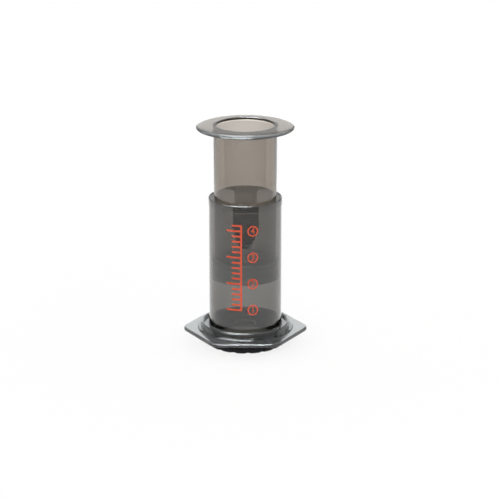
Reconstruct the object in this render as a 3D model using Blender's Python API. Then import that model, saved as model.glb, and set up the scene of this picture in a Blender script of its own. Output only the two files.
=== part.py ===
"""Piston coffee press, modelled as the separate pieces that it comes apart into.

Metres, +Z up. Z = 0 is the surface that the press stands on, and the Z axis runs
up the middle of both tubes. The front, with the printed scale, faces -Y.
The press stands on its filter cap, with the plunger about half way down.
"""
import math

import bmesh
import bpy
from mathutils import Matrix, Vector

# Clearances
SEAT_GAP = 0.0003            # between faces that rest on each other
RUN_GAP = 0.0003             # between pieces that slide or turn past each other
CUT_OVERRUN = 0.0010         # how far a cutter runs on past the face it opens

# Filter cap, heights
CAP_FOOT = 0.0009            # foot ring below the drip plate
CAP_FLOOR = 0.00155          # thickness of the drip plate
TAB_HEIGHT = 0.0020          # bayonet tab
CAP_COLLAR = 0.0049          # plain wall above the tabs
# Filter cap, widths
CAP_WALL = 0.0009            # wall behind a grip notch
GRIP_DEPTH = 0.0008          # depth of a grip notch
FOOT_WIDTH = 0.0042          # foot ring, inner edge to outer edge
FOOT_CHAMFER = 0.0012        # lower outer edge
CAP_RIM_CHAMFER = 0.0004
NOTCH_RADIUS = 0.0026
GRIP_NOTCHES = 16
NOTCH_TURN = math.radians(3.9)  # first notch, right of the front
FOOT_NOTCH_DEPTH = 0.0020    # notch in the foot ring
FOOT_NOTCH_RADIUS = 0.0025
DRIP_RINGS = 5               # rings of drip holes around the middle one
DRIP_RADIUS = 0.0010
DRIP_MARGIN = 0.0040         # plain plate outside the last ring of holes
TAB_SWEEP = math.radians(35)
STOP_SWEEP = math.radians(1.8)
STOP_TURN = math.radians(0.6)   # running gap between a stop and the lug's end
STOP_INSET = 0.0001             # stop set back from the tab's face

# Paper filter
PAPER_THICKNESS = 0.00015
PAPER_MARGIN = 0.00045       # how far the paper reaches past the neck

# Chamber, heights
LUG_OFFSET = 0.0014          # neck below the bayonet lugs
LUG_HEIGHT = 0.0022
POCKET_HEADROOM = 0.0015     # space over the cap's rim
HUB_WEB = 0.0020             # web between the cap pocket and the trough
HUB_DROP = 0.0035            # trough floor down to the top of the flange
RING_RISE = 0.0021           # hub ring above the trough floor
STEP_RISE = 0.0012           # step at the foot of the hub ring
FLANGE_THICKNESS = 0.0030
MOUTH_DEPTH = 0.0012         # wider mouth of the cap pocket
TUBE_HEIGHT = 0.1155         # trough floor up to the rim
RIM_HEIGHT = 0.0060          # thicker band at the rim
# Chamber, widths
BORE_RADIUS = 0.0300
TUBE_WALL = 0.0018           # at the foot of the tube
TUBE_DRAFT = 0.00025         # outer radius lost on the way up
RIM_BEAD = 0.00045           # how far the rim band stands out
RIM_ROUND = 0.0007
NECK_WALL = 0.0013
LUG_REACH = 0.0011
POCKET_GAP = 0.0008          # round the cap's grip
RING_WALL = 0.0030           # pocket out to the top of the hub ring
RING_WIDTH = 0.0020
RING_FLARE = 0.0010          # slope of the ring's outer side
STEP_WIDTH = 0.0026
MOUTH_WIDTH = 0.0010
FLANGE_REACH = 0.0067        # step out to a flat side of the flange
FLANGE_CORNER = 0.0120       # corner radius of the flange
FLANGE_EDGE = 0.0007         # bevel of the flange's edges
HUB_ROUND = 0.0006
TROUGH_ROUND = 0.0012
LUG_COUNT = 4
LUG_SWEEP = math.radians(30)
FLANGE_SIDES = 6

# Plunger seal
SEAL_HEIGHT = 0.0170
SEAL_FLOOR = 0.0050
LIP_HEIGHT = 0.0022
LIP_REACH = 0.0011           # lips stand out past the waist
LIP_SLOPE = 0.0018
SEAL_ROUND = 0.0008

# Plunger
PLUNGER_GAP = 0.0031         # bore to the foot of the plunger's tube
PLUNGER_DRAFT = 0.00060      # outer radius gained on the way up
PLUNGER_WALL = 0.0020
PLUNGER_FLOOR = 0.0020
BOSS_STEP = 0.0059           # shoulder outside the boss
BEAD_REACH = 0.0008          # bead that holds the seal on the boss
BEAD_HEIGHT = 0.0025
BRIM_REACH = 0.0150          # brim outside the tube
BRIM_THICKNESS = 0.0024
BRIM_DOME = 0.0024           # hole's rim above the brim's widest circle
BRIM_EDGE = 0.0009           # widest circle above the brim's lower edge
BRIM_TUCK = 0.0012           # lower edge inside the widest circle
BRIM_STANDOFF = 0.0035       # brim to chamber rim with the plunger pressed home
HOLE_ROUND = 0.0007
SHOULDER_ROUND = 0.0008
PRESS_GAP = 0.0005           # seal to paper with the plunger pressed home
PLUNGER_LIFT = 0.0576        # how far the plunger stands above that lowest place

# Heights that follow
FLOOR_TOP = CAP_FOOT + CAP_FLOOR
PAPER_BOTTOM = FLOOR_TOP + SEAT_GAP
PAPER_TOP = PAPER_BOTTOM + PAPER_THICKNESS
NECK_BOTTOM = PAPER_TOP + SEAT_GAP
LUG_BOTTOM = NECK_BOTTOM + LUG_OFFSET
LUG_TOP = LUG_BOTTOM + LUG_HEIGHT
TAB_BOTTOM = LUG_TOP + RUN_GAP
TAB_TOP = TAB_BOTTOM + TAB_HEIGHT
CAP_RIM = TAB_TOP + CAP_COLLAR
POCKET_TOP = CAP_RIM + POCKET_HEADROOM
TROUGH_FLOOR = POCKET_TOP + HUB_WEB
RING_TOP = TROUGH_FLOOR + RING_RISE
FLANGE_TOP = TROUGH_FLOOR - HUB_DROP
STEP_TOP = FLANGE_TOP + STEP_RISE
FLANGE_BOTTOM = FLANGE_TOP - FLANGE_THICKNESS
MOUTH_TOP = FLANGE_BOTTOM + MOUTH_DEPTH
RIM_TOP = TROUGH_FLOOR + TUBE_HEIGHT
SEAL_BOTTOM = PAPER_TOP + PRESS_GAP + PLUNGER_LIFT
SEAL_TOP = SEAL_BOTTOM + SEAL_HEIGHT
SEAL_FLOOR_TOP = SEAL_BOTTOM + SEAL_FLOOR
BOSS_BOTTOM = SEAL_FLOOR_TOP + SEAT_GAP
BEAD_TOP = BOSS_BOTTOM + BEAD_HEIGHT
SHOULDER = SEAL_TOP + SEAT_GAP
BRIM_BOTTOM = RIM_TOP + BRIM_STANDOFF + PLUNGER_LIFT
BRIM_WIDEST = BRIM_BOTTOM + BRIM_EDGE
PLUNGER_TOP = BRIM_WIDEST + BRIM_DOME

# Radii that follow
NECK_RADIUS = BORE_RADIUS + NECK_WALL
LUG_RADIUS = NECK_RADIUS + LUG_REACH
CAP_INNER = LUG_RADIUS + RUN_GAP
GRIP_ROOT = CAP_INNER + CAP_WALL
GRIP_RADIUS = GRIP_ROOT + GRIP_DEPTH
FOOT_RADIUS = GRIP_RADIUS - FOOT_CHAMFER
FOOT_INNER = FOOT_RADIUS - FOOT_WIDTH
PAPER_RADIUS = NECK_RADIUS + PAPER_MARGIN
FLOOR_RADIUS = PAPER_RADIUS + SEAT_GAP
TUBE_FOOT = BORE_RADIUS + TUBE_WALL
TUBE_NECK = TUBE_FOOT - TUBE_DRAFT
RIM_RADIUS = TUBE_NECK + RIM_BEAD
POCKET_RADIUS = GRIP_RADIUS + POCKET_GAP
RING_RADIUS = POCKET_RADIUS + RING_WALL
RING_INNER = RING_RADIUS - RING_WIDTH
RING_FOOT = RING_RADIUS + RING_FLARE
STEP_RADIUS = RING_FOOT + STEP_WIDTH
MOUTH_RADIUS = POCKET_RADIUS + MOUTH_WIDTH
FLANGE_FLAT = STEP_RADIUS + FLANGE_REACH
LIP_RADIUS = BORE_RADIUS - RUN_GAP
WAIST_RADIUS = LIP_RADIUS - LIP_REACH
PLUNGER_FOOT = BORE_RADIUS - PLUNGER_GAP
PLUNGER_NECK = PLUNGER_FOOT + PLUNGER_DRAFT
BOSS_RADIUS = PLUNGER_FOOT - BOSS_STEP
BEAD_RADIUS = BOSS_RADIUS + BEAD_REACH
SOCKET_RADIUS = BOSS_RADIUS + SEAT_GAP
GROOVE_RADIUS = BEAD_RADIUS + SEAT_GAP
BRIM_RADIUS = PLUNGER_NECK + BRIM_REACH
HOLE_RADIUS = PLUNGER_NECK - PLUNGER_WALL

# How finely round things are divided
ROUND_STEPS = 60
STEP_ANGLE = 2 * math.pi / ROUND_STEPS
DOME_STEPS = 7
CORNER_STEPS = 4
NOTCH_SIDES = 12
DRIP_SIDES = 6
SMOOTH_ANGLE = math.radians(30)


# Outlines

def fillet(before, corner, after, radius, steps):
    """Points of the arc that rounds one corner of an outline."""
    back = (before - corner).normalized()
    ahead = (after - corner).normalized()
    half = back.angle(ahead) / 2
    center = corner + (back + ahead).normalized() * radius / math.sin(half)
    start = corner + back * radius / math.tan(half) - center
    end = corner + ahead * radius / math.tan(half) - center
    turn = start.angle_signed(end)
    points = []
    for step in range(steps + 1):
        # In the plane, a positive signed angle runs clockwise
        points.append(center + Matrix.Rotation(-turn * step / steps, 2) @ start)
    return points


def rounded(corners):
    """Outline through corners given as (radius, height) or (radius, height, fillet, steps)."""
    places = [Vector(corner[:2]) for corner in corners]
    points = []
    for index, corner in enumerate(corners):
        if len(corner) == 2:
            points.append(places[index])
            continue
        before = places[index - 1]
        after = places[(index + 1) % len(places)]
        points += fillet(before, places[index], after, corner[2], corner[3])
    return points


def brim_dome():
    """Quarter ellipse over the brim, from its widest circle up to the hole's rim."""
    crown = HOLE_RADIUS + HOLE_ROUND
    points = []
    for step in range(DOME_STEPS):
        angle = math.pi / 2 * step / DOME_STEPS
        radius = crown + (BRIM_RADIUS - crown) * math.cos(angle)
        points.append((radius, BRIM_WIDEST + BRIM_DOME * math.sin(angle)))
    return points


# Solids

def shade(mesh):
    """Smooth round sides and keep the edges between them sharp."""
    mesh.shade_smooth()
    mesh.set_sharp_from_angle(angle=SMOOTH_ANGLE)


def finish_mesh(name, shape):
    """Object from a closed bmesh, with its faces pointing out and its round sides smooth."""
    bmesh.ops.recalc_face_normals(shape, faces=shape.faces)
    mesh = bpy.data.meshes.new(name)
    shape.to_mesh(mesh)
    shape.free()
    shade(mesh)
    item = bpy.data.objects.new(name, mesh)
    bpy.context.scene.collection.objects.link(item)
    return item


def turned(name, outline, ring=False):
    """Body of revolution about Z: a ring from a closed outline, or a body capped flat at both ends."""
    shape = bmesh.new()
    verts = [shape.verts.new((radius, 0, height)) for radius, height in outline]
    pairs = list(zip(verts, verts[1:]))
    if ring:
        pairs.append((verts[-1], verts[0]))
    edges = [shape.edges.new(pair) for pair in pairs]
    bmesh.ops.spin(shape, geom=verts + edges, cent=(0, 0, 0), axis=(0, 0, 1),
                   angle=2 * math.pi, steps=ROUND_STEPS, use_merge=True)
    if not ring:
        ends = [edge for edge in shape.edges if edge.is_boundary]
        bmesh.ops.edgeloop_fill(shape, edges=ends)
    return finish_mesh(name, shape)


def stack_loops(shape, loops):
    """Closed prism through a stack of loops with equal counts of points, capped at both ends."""
    rows = [[shape.verts.new(point) for point in loop] for loop in loops]
    for low, high in zip(rows, rows[1:]):
        for index in range(len(low)):
            after = (index + 1) % len(low)
            shape.faces.new((low[index], low[after], high[after], high[index]))
    shape.faces.new(list(reversed(rows[0])))
    shape.faces.new(rows[-1])


def arc_blocks(name, inner, outer, bottom, top, sweep, offset=0):
    """Curved blocks, one for each lug of the bayonet, spread evenly round the axis."""
    shape = bmesh.new()
    steps = max(1, round(sweep / STEP_ANGLE))
    for index in range(LUG_COUNT):
        middle = 2 * math.pi * index / LUG_COUNT + offset
        angles = [middle + sweep * (step / steps - 1 / 2) for step in range(steps + 1)]
        rim = [(math.cos(angle), math.sin(angle), outer) for angle in angles]
        rim += [(math.cos(angle), math.sin(angle), inner) for angle in reversed(angles)]
        loops = [[(x * radius, y * radius, height) for x, y, radius in rim]
                 for height in (bottom, top)]
        stack_loops(shape, loops)
    return finish_mesh(name, shape)


def add_posts(shape, reach, turns, radius, sides, bottom, top):
    """Upright posts round the axis, each turned with its place."""
    for turn in turns:
        place = Matrix.Rotation(turn, 4, 'Z') @ Matrix.Translation((reach, 0, (bottom + top) / 2))
        bmesh.ops.create_cone(shape, cap_ends=True, segments=sides, radius1=radius,
                              radius2=radius, depth=top - bottom, matrix=place)


def posts(name, reach, turns, radius, sides, bottom, top):
    """One ring of posts as an object."""
    shape = bmesh.new()
    add_posts(shape, reach, turns, radius, sides, bottom, top)
    return finish_mesh(name, shape)


def combine(item, tool, operation):
    """Join a helper to a piece, or cut it away, and remove the helper."""
    step = item.modifiers.new(tool.name, 'BOOLEAN')
    step.operation = operation
    step.solver = 'EXACT'
    step.object = tool
    graph = bpy.context.evaluated_depsgraph_get()
    result = bpy.data.meshes.new_from_object(item.evaluated_get(graph))
    item.modifiers.clear()
    item.data = result
    shade(result)
    bpy.data.objects.remove(tool, do_unlink=True)


def paint(item, color, roughness):
    """Give a piece its own material."""
    material = bpy.data.materials.new(item.name + "_plastic")
    material.use_nodes = True
    shader = material.node_tree.nodes["Principled BSDF"]
    shader.inputs["Base Color"].default_value = (*color, 1)
    shader.inputs["Roughness"].default_value = roughness
    shader.inputs["Metallic"].default_value = 0
    item.data.materials.append(material)


def set_origin(item, height):
    """Move a piece's origin up the axis and leave its mesh where it is."""
    item.data.transform(Matrix.Translation((0, 0, -height)))
    item.location.z = height


# Chamber

def flange_outline(inset):
    """Six-sided outline with rounded corners, a flat side towards the front."""
    flat = FLANGE_FLAT - inset
    corner_radius = FLANGE_CORNER - inset
    half_side = math.pi / FLANGE_SIDES
    reach = (flat - corner_radius) / math.cos(half_side)
    points = []
    for corner in range(FLANGE_SIDES):
        middle = 2 * half_side * corner
        for step in range(CORNER_STEPS + 1):
            angle = middle + half_side * (2 * step / CORNER_STEPS - 1)
            points.append((reach * math.cos(middle) + corner_radius * math.cos(angle),
                           reach * math.sin(middle) + corner_radius * math.sin(angle)))
    return points


def flange_plate():
    """The flange that rests on a mug, with bevelled edges."""
    levels = [(FLANGE_BOTTOM, FLANGE_EDGE),
              (FLANGE_BOTTOM + FLANGE_EDGE, 0),
              (FLANGE_TOP - FLANGE_EDGE, 0),
              (FLANGE_TOP, FLANGE_EDGE)]
    loops = [[(x, y, height) for x, y in flange_outline(inset)] for height, inset in levels]
    shape = bmesh.new()
    stack_loops(shape, loops)
    plate = finish_mesh("flange_plate", shape)
    mouth = posts("pocket_mouth", 0, [0], MOUTH_RADIUS, ROUND_STEPS,
                  FLANGE_BOTTOM - CUT_OVERRUN, FLANGE_TOP + CUT_OVERRUN)
    combine(plate, mouth, 'DIFFERENCE')
    return plate


def make_chamber():
    """Brewing tube, hub, flange and bayonet neck, moulded in one piece."""
    outline = rounded([
        (BORE_RADIUS, NECK_BOTTOM),
        (BORE_RADIUS, RIM_TOP, RIM_ROUND, 2),
        (RIM_RADIUS, RIM_TOP, RIM_ROUND, 2),
        (RIM_RADIUS, RIM_TOP - RIM_HEIGHT),
        (TUBE_NECK, RIM_TOP - RIM_HEIGHT - RIM_BEAD),
        (TUBE_FOOT, TROUGH_FLOOR, TROUGH_ROUND, 2),
        (RING_INNER, TROUGH_FLOOR),
        (RING_INNER, RING_TOP, HUB_ROUND, 2),
        (RING_RADIUS, RING_TOP, HUB_ROUND, 2),
        (RING_FOOT, STEP_TOP),
        (STEP_RADIUS, STEP_TOP, HUB_ROUND, 1),
        (STEP_RADIUS, MOUTH_TOP),
        (POCKET_RADIUS, MOUTH_TOP),
        (POCKET_RADIUS, POCKET_TOP, HUB_ROUND, 1),
        (NECK_RADIUS, POCKET_TOP, HUB_ROUND, 1),
        (NECK_RADIUS, NECK_BOTTOM)])
    chamber = turned("chamber", outline, ring=True)
    combine(chamber, flange_plate(), 'UNION')
    lugs = arc_blocks("neck_lugs", NECK_RADIUS - NECK_WALL / 2, LUG_RADIUS,
                      LUG_BOTTOM, LUG_TOP, LUG_SWEEP)
    combine(chamber, lugs, 'UNION')
    paint(chamber, (0.20, 0.20, 0.19), 0.10)
    return chamber


# Filter cap

def drip_posts():
    """Posts for the middle hole and for rings of six, twelve, eighteen and so on around it."""
    spacing = (FOOT_INNER - DRIP_MARGIN) / DRIP_RINGS
    shape = bmesh.new()
    for ring in range(DRIP_RINGS + 1):
        count = max(1, 6 * ring)
        turns = [2 * math.pi * index / count for index in range(count)]
        add_posts(shape, spacing * ring, turns, DRIP_RADIUS, DRIP_SIDES,
                  CAP_FOOT - CUT_OVERRUN, FLOOR_TOP + CUT_OVERRUN)
    return finish_mesh("drip_holes", shape)


def notch_posts(name, root, radius, bottom, top):
    """Posts that cut a ring of notches, whose deepest points lie at the root radius."""
    turns = [NOTCH_TURN + 2 * math.pi * index / GRIP_NOTCHES - math.pi / 2
             for index in range(GRIP_NOTCHES)]
    return posts(name, root + radius, turns, radius, NOTCH_SIDES, bottom, top)


def make_filter_cap():
    """Cup that holds the paper: drip plate, notched grip, bayonet tabs and their stops."""
    outline = rounded([
        (FOOT_INNER, CAP_FOOT),
        (FOOT_INNER, 0),
        (FOOT_RADIUS, 0),
        (GRIP_RADIUS, FOOT_CHAMFER),
        (GRIP_RADIUS, CAP_RIM, CAP_RIM_CHAMFER, 1),
        (CAP_INNER, CAP_RIM),
        (CAP_INNER, LUG_BOTTOM - RUN_GAP),
        (FLOOR_RADIUS, LUG_BOTTOM - RUN_GAP),
        (FLOOR_RADIUS, FLOOR_TOP)])
    cap = turned("filter_cap", outline)
    tab_inner = NECK_RADIUS + RUN_GAP
    tab_outer = CAP_INNER + CAP_WALL / 2
    tabs = arc_blocks("cap_tabs", tab_inner, tab_outer, TAB_BOTTOM, TAB_TOP, TAB_SWEEP)
    stop_turn = -(LUG_SWEEP + STOP_SWEEP) / 2 - STOP_TURN
    stops = arc_blocks("cap_stops", tab_inner + STOP_INSET, tab_outer, LUG_BOTTOM,
                       TAB_BOTTOM + TAB_HEIGHT / 2, STOP_SWEEP, stop_turn)
    grip_notches = notch_posts("grip_notches", GRIP_ROOT, NOTCH_RADIUS,
                               -CUT_OVERRUN, FLANGE_BOTTOM)
    foot_notches = notch_posts("foot_notches", FOOT_RADIUS - FOOT_NOTCH_DEPTH, FOOT_NOTCH_RADIUS,
                               -CUT_OVERRUN, CAP_FOOT)
    combine(cap, tabs, 'UNION')
    combine(cap, stops, 'UNION')
    combine(cap, grip_notches, 'DIFFERENCE')
    combine(cap, foot_notches, 'DIFFERENCE')
    combine(cap, drip_posts(), 'DIFFERENCE')
    paint(cap, (0.010, 0.011, 0.012), 0.35)
    return cap


def make_paper_filter():
    """Paper disc on the cap's drip plate."""
    paper = turned("paper_filter", [(PAPER_RADIUS, PAPER_BOTTOM), (PAPER_RADIUS, PAPER_TOP)])
    paint(paper, (0.80, 0.79, 0.75), 0.90)
    return paper


# Plunger

def make_plunger_seal():
    """Soft cup with two lips that wipe the bore, pushed on over the plunger's boss."""
    outline = rounded([
        (LIP_RADIUS - SEAL_ROUND, SEAL_BOTTOM),
        (LIP_RADIUS, SEAL_BOTTOM + SEAL_ROUND),
        (LIP_RADIUS, SEAL_BOTTOM + LIP_HEIGHT),
        (WAIST_RADIUS, SEAL_BOTTOM + LIP_HEIGHT + LIP_SLOPE),
        (WAIST_RADIUS, SEAL_TOP - LIP_HEIGHT - LIP_SLOPE),
        (LIP_RADIUS, SEAL_TOP - LIP_HEIGHT),
        (LIP_RADIUS, SEAL_TOP, SEAL_ROUND, 2),
        (SOCKET_RADIUS, SEAL_TOP),
        (SOCKET_RADIUS, BEAD_TOP + BEAD_REACH + SEAT_GAP),
        (GROOVE_RADIUS, BEAD_TOP + SEAT_GAP),
        (GROOVE_RADIUS, SEAL_FLOOR_TOP)])
    seal = turned("plunger_seal", outline)
    paint(seal, (0.16, 0.18, 0.17), 0.45)
    return seal


def make_plunger():
    """Hollow inner tube with a domed brim to press on and a closed foot with its boss."""
    foot = rounded([
        (BOSS_RADIUS, BOSS_BOTTOM),
        (BEAD_RADIUS, BOSS_BOTTOM + BEAD_REACH),
        (BEAD_RADIUS, BEAD_TOP),
        (BOSS_RADIUS, BEAD_TOP + BEAD_REACH),
        (BOSS_RADIUS, SHOULDER),
        (PLUNGER_FOOT, SHOULDER, SHOULDER_ROUND, 2),
        (PLUNGER_NECK, PLUNGER_TOP - BRIM_THICKNESS, SHOULDER_ROUND, 2),
        (BRIM_RADIUS - BRIM_TUCK, BRIM_BOTTOM)])
    inside = rounded([
        (HOLE_RADIUS + HOLE_ROUND, PLUNGER_TOP),
        (HOLE_RADIUS, PLUNGER_TOP - HOLE_ROUND),
        (PLUNGER_FOOT - PLUNGER_WALL, SHOULDER + PLUNGER_FLOOR, SHOULDER_ROUND, 2),
        (BOSS_RADIUS - PLUNGER_WALL, SHOULDER + PLUNGER_FLOOR),
        (BOSS_RADIUS - PLUNGER_WALL, BOSS_BOTTOM + PLUNGER_FLOOR)])
    plunger = turned("plunger", foot + brim_dome() + inside)
    paint(plunger, (0.28, 0.28, 0.26), 0.08)
    return plunger


def carry(name, height, pieces):
    """Empty on the axis that moves its pieces as one."""
    carrier = bpy.data.objects.new(name, None)
    bpy.context.scene.collection.objects.link(carrier)
    carrier.location.z = height
    for piece in pieces:
        piece.parent = carrier
        piece.location.z -= height


def main():
    for item in list(bpy.data.objects):
        bpy.data.objects.remove(item, do_unlink=True)
    make_chamber()
    cap = make_filter_cap()
    paper = make_paper_filter()
    seal = make_plunger_seal()
    plunger = make_plunger()
    set_origin(paper, PAPER_BOTTOM)
    set_origin(seal, SEAL_BOTTOM)
    set_origin(plunger, BOSS_BOTTOM)
    carry("cap_carrier", 0, [cap, paper])
    carry("plunger_carrier", SEAL_BOTTOM, [seal, plunger])


main()
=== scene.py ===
# %% [markdown]
# # Dressing a piston coffee press
#
# The press is a clear smoke tube that stands on a black drip cap, with a hollow plunger
# that pushes a soft seal down the tube. The engineering model loads as a fixed frame. This
# lesson makes the fine surface that the eye sees around it. It uses the engineering model's
# own sizes, so that pieces that touch each other stay in step.

# %% Load the frame
import math

import bmesh
import bpy
from mathutils import Matrix, Vector


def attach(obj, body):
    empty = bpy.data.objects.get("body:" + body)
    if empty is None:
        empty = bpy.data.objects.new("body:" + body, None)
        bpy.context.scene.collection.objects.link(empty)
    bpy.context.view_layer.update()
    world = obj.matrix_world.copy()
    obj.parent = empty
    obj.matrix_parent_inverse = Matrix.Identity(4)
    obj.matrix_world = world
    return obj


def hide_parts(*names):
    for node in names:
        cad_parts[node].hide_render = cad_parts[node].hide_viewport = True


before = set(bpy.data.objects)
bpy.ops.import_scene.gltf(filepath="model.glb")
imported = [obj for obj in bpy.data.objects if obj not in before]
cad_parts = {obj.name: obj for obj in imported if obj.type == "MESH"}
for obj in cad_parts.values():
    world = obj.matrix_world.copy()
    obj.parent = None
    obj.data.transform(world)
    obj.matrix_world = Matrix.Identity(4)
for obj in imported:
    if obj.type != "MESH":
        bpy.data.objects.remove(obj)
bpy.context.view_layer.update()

MM = 0.001

# %% [markdown]
# ## Camera
#
# The photograph was taken from well back with a long lens, a little above the press, so the
# tube's sides stay nearly parallel. The camera looks along +Y and 17.4 degrees down.

# %% Set up the camera
LENS = 158.86                               # millimetres, on a sensor 36 mm wide
CAMERA_PLACE = (0.00364, -1.836, 0.6603)    # metres
CAMERA_DROP = 17.407                        # degrees below level


def new_object(name, data):
    """A new object, linked to the scene."""
    item = bpy.data.objects.new(name, data)
    bpy.context.scene.collection.objects.link(item)
    return item


camera_data = bpy.data.cameras.new("photo_camera")
camera_data.lens = LENS
camera_data.sensor_width = 36.0
camera_data.clip_end = 20.0
camera = new_object("photo_camera", camera_data)
camera.location = CAMERA_PLACE
camera.rotation_euler = (math.radians(90 - CAMERA_DROP), 0, 0)
bpy.context.scene.camera = camera
print("camera at", CAMERA_PLACE, "looks", CAMERA_DROP, "degrees down")

# %% [markdown]
# ## Turned outlines
#
# A moulded edge is never a true corner: it has a radius, which catches a thin line of light.
# Each outline is typed as a few corners with their radii, and this helper rounds them. It
# also puts a guard point beside each arc, so that smooth shading stays flat between arcs.

# %% Round the corners of an outline
GUARD = 0.15 * MM       # from the end of an arc to its guard point
ARC_STEP = 15           # degrees of an arc between two points
ROOM = 0.96             # share of the half edge beside a corner that its arc may take


def rounded(corners, closed=False):
    """Points from corners of (radius, height, rounding in mm), which keep a corner's tag."""
    places = [Vector(corner[:2]) for corner in corners]
    points = []
    last = len(corners) - 1
    for index, (radius, height, rounding, *tag) in enumerate(corners):
        corner = places[index]
        if rounding == 0 or (not closed and index in (0, last)):
            points.append((radius, height, *tag))
            continue
        back = places[index - 1] - corner
        ahead = places[(index + 1) % len(places)] - corner
        back_room = back.length / 2
        ahead_room = ahead.length / 2
        back.normalize()
        ahead.normalize()
        half = back.angle(ahead) / 2
        run = min(rounding * MM / math.tan(half), back_room * ROOM, ahead_room * ROOM)
        bend = run * math.tan(half)
        middle = corner + (back + ahead).normalized() * bend / math.sin(half)
        start = corner + back * run - middle
        sweep = math.pi - 2 * half
        side = 1 if back.x * ahead.y - back.y * ahead.x > 0 else -1
        steps = max(2, round(sweep / math.radians(ARC_STEP)))
        first = corner + back * min(run + GUARD, back_room)
        points.append((first.x, first.y, *tag))
        for step in range(steps + 1):
            place = middle + Matrix.Rotation(-side * sweep * step / steps, 2) @ start
            points.append((place.x, place.y, *tag))
        final = corner + ahead * min(run + GUARD, ahead_room)
        points.append((final.x, final.y, *tag))
    return points


square = [(0, 0, 1), (10 * MM, 0, 1), (10 * MM, 10 * MM, 1), (0, 10 * MM, 1)]
print("a rounded square takes", len(rounded(square, closed=True)), "points")

# %% [markdown]
# ## Node helper
#
# Every material and every Geometry Nodes tree below is built with one small function. It
# adds a node, sets its properties, and fills its inputs with values or links.


# %% One function that adds a node
def live(sockets, name=None):
    """First socket in use, because a node also keeps the sockets of its other settings."""
    return next(socket for socket in sockets if socket.enabled and name in (None, socket.name))


def add_node(tree, kind, inputs=None, **settings):
    """Add a node, set its properties, and give its inputs a value, a socket or a node."""
    node = tree.nodes.new(kind)
    for name, value in settings.items():
        setattr(node, name, value)
    for key, value in (inputs or {}).items():
        socket = node.inputs[key] if isinstance(key, int) else live(node.inputs, key)
        if isinstance(value, bpy.types.Node):
            value = live(value.outputs)
        if isinstance(value, bpy.types.NodeSocket):
            tree.links.new(value, socket)
        else:
            socket.default_value = value
    return node


print("nodes are added by", add_node.__name__)

# %% [markdown]
# ## Turning with Geometry Nodes
#
# The plunger, its seal, the paper and the cap's ring are bodies of revolution. They could be
# spun with the Spin tool, but a node tree keeps the rule live: it bends a plain grid so that
# its rows follow an outline and its columns go round the axis, then welds the seam.


# %% Open and close a tree
def new_tree(name, **inputs):
    """A Geometry Nodes tree with named inputs; returns it and the sockets that hold them."""
    tree = bpy.data.node_groups.new(name, "GeometryNodeTree")
    for title, kind in inputs.items():
        tree.interface.new_socket(title, in_out="INPUT", socket_type="NodeSocket" + kind)
    tree.interface.new_socket("Geometry", in_out="OUTPUT", socket_type="NodeSocketGeometry")
    return tree, add_node(tree, "NodeGroupInput").outputs


def close_tree(tree, geometry, finish):
    """End a tree with real geometry that carries its material, and return it."""
    whole = add_node(tree, "GeometryNodeRealizeInstances", {"Geometry": geometry})
    coated = add_node(tree, "GeometryNodeSetMaterial", {"Geometry": whole, "Material": finish})
    add_node(tree, "NodeGroupOutput", {"Geometry": coated})
    print(tree.name, "has", len(tree.nodes), "nodes")
    return tree


# %% The tree that turns an outline
tree, given = new_tree("turned_body", outline="Object", points="Int", steps="Int",
                       weld="Float", finish="Material")
outline = add_node(tree, "GeometryNodeObjectInfo", {"Object": given["outline"]})
columns = add_node(tree, "FunctionNodeIntegerMath", {0: given["steps"], 1: 1}, operation="ADD")
grid = add_node(tree, "GeometryNodeMeshGrid",
                {"Vertices X": columns, "Vertices Y": given["points"]})
index = add_node(tree, "GeometryNodeInputIndex")
row = add_node(tree, "FunctionNodeIntegerMath", {0: index, 1: given["points"]},
               operation="MODULO")
column = add_node(tree, "FunctionNodeIntegerMath", {0: index, 1: given["points"]},
                  operation="DIVIDE_FLOOR")
angle = add_node(tree, "ShaderNodeMapRange",
                 {"Value": column, "From Max": given["steps"], "To Max": 2 * math.pi})
place = add_node(tree, "GeometryNodeInputPosition")
spot = add_node(tree, "GeometryNodeSampleIndex",
                {"Geometry": outline.outputs["Geometry"], "Value": place, "Index": row},
                data_type="FLOAT_VECTOR")
swung = add_node(tree, "ShaderNodeVectorRotate", {"Vector": spot, "Angle": angle},
                 rotation_type="Z_AXIS")
bent = add_node(tree, "GeometryNodeSetPosition", {"Geometry": grid, "Position": swung})
welded = add_node(tree, "GeometryNodeMergeByDistance",
                  {"Geometry": bent, "Distance": given["weld"]})
turned_body = close_tree(tree, welded, given["finish"])


# %% Bake a tree into a plain mesh
def settle(item):
    """Keep what an object's modifiers make of it as its plain mesh."""
    graph = bpy.context.evaluated_depsgraph_get()
    mesh = bpy.data.meshes.new_from_object(item.evaluated_get(graph))
    item.modifiers.clear()
    item.data = mesh


def bake(name, tree, start=None, **values):
    """Run a Geometry Nodes tree once on a mesh and keep its result as an ordinary object."""
    item = start or new_object(name, bpy.data.meshes.new(name))
    step = item.modifiers.new(tree.name, "NODES")
    step.node_group = tree
    for socket in tree.interface.items_tree:
        if socket.in_out == "INPUT" and socket.name in values:
            step[socket.identifier] = values[socket.name]
    settle(item)
    item.data.name = name
    print(name, "has", len(item.data.polygons), "faces after", tree.name)
    return item


# %% Turn and finish a piece
WELD = 0.002 * MM       # points closer than this become one


def turn(name, points, finish, steps):
    """A piece turned from its outline, which is a line of points that the tree reads."""
    mesh = bpy.data.meshes.new(name + "_outline")
    mesh.from_pydata([(point[0], 0, point[1]) for point in points], [], [])
    line = new_object(name + "_outline", mesh)
    piece = bake(name, turned_body, outline=line, points=len(points), steps=steps, weld=WELD,
                 finish=finish)
    bpy.data.objects.remove(line, do_unlink=True)
    return piece


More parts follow.
